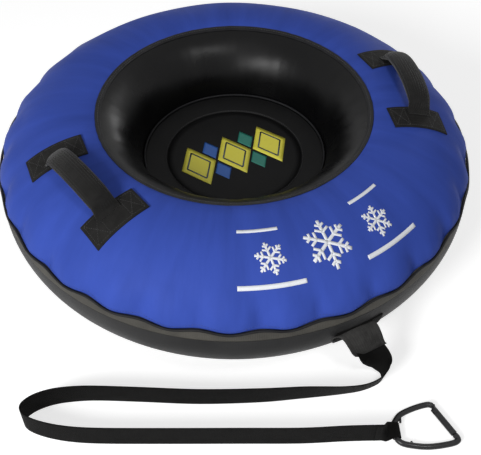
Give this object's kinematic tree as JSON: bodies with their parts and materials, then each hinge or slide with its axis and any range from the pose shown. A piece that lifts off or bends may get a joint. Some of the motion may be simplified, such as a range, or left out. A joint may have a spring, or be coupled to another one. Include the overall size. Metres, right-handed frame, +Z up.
{
  "type": "snow tube",
  "caption": "Round inflatable snow tube in a gathered fabric cover, with a recessed seat, padded webbing grips and a webbing tow strap that ends in a carabiner.",
  "frame": {"origin": "on the ground under the middle of the round tube, the tow strap left out of the measure", "axes": "+Z up, out of the seat; -Y towards the side that the tow strap leaves; +X towards the right grip, the one on the right as seen from behind the tube looking along -Z over the strap side"},
  "size_m": [0.9874, 1.1152, 0.2925],
  "materials": {
    "blue_fabric": "satin coated weave",
    "black_vinyl": "glossy coated fabric",
    "floor_fabric": "matt coated weave",
    "base_fabric": "slick coated fabric",
    "band_fabric": "matt weave",
    "black_trim": "satin",
    "rubber": "matt",
    "webbing": "matt woven webbing",
    "foam": "closed-cell foam",
    "gunmetal": "dark satin metal",
    "brass": "satin",
    "zip_plastic": "satin"
  },
  "bodies": {
    "tube": {"top_cover": "blue_fabric", "seat_wall": "black_vinyl", "seat_band": "floor_fabric", "seat_panel": "floor_fabric", "base_panel": "base_fabric", "perimeter_band": "band_fabric", "rim_binding": "black_trim", "perimeter_piping": "black_trim", "seat_piping": "black_trim", "inner_tube": "rubber", "valve_patch": "rubber", "left_handle_sleeve": "webbing", "left_handle_webbing": "webbing", "left_handle_tab_front": "webbing", "left_handle_tab_rear": "webbing", "right_handle_sleeve": "webbing", "right_handle_webbing": "webbing", "right_handle_tab_front": "webbing", "right_handle_tab_rear": "webbing", "tow_patch": "webbing", "tow_loop": "webbing", "tow_strap": "webbing", "strap_end_loop": "webbing", "zip_tape_left": "webbing", "zip_tape_right": "webbing", "left_handle_foam": "foam", "right_handle_foam": "foam", "zip_stop_front": "gunmetal", "zip_stop_rear": "gunmetal", "valve_stem": "brass", "valve_core": "brass", "zip_coil_left": "zip_plastic", "zip_coil_right": "zip_plastic"},
    "zip_slider_body": {"zip_slider": "gunmetal"},
    "zip_pull_body": {"zip_pull": "gunmetal"},
    "valve_cap_body": {"valve_cap": "black_trim"},
    "carabiner_body": {"carabiner_frame": "gunmetal", "gate_pin": "gunmetal"},
    "gate_body": {"carabiner_gate": "gunmetal", "gate_spring": "gunmetal"}
  },
  "joints": [
    {"name": "zip_slider_slide", "type": "slide", "parent": "tube", "child": "zip_slider_body", "axis": [-1, 0, 0], "range_m": [0, 0.2768]},
    {"name": "zip_pull_hinge", "type": "hinge", "parent": "zip_slider_body", "child": "zip_pull_body", "pos_m": [0.1384, 0, 0.0067], "axis": [0, 1, 0], "range_deg": [0, 159.6]},
    {"name": "valve_cap_slide", "type": "slide", "parent": "tube", "child": "valve_cap_body", "axis": [0.1096, -0.9726, -0.2051], "range_m": [0, 0.016]},
    {"name": "carabiner_swing", "type": "hinge", "parent": "tube", "child": "carabiner_body", "pos_m": [0.0157, -0.601, 0.0073], "axis": [-0.3827, -0.9239, 0], "range_deg": [0, 100]},
    {"name": "carabiner_gate_hinge", "type": "hinge", "parent": "carabiner_body", "child": "gate_body", "pos_m": [0.09591, -0.59417, 0.00618], "axis": [-0.0144, 0.006, -0.9999], "range_deg": [0, 22], "stiffness_Nm_per_rad": 0.3, "springref_deg": -8.59}
  ]
}
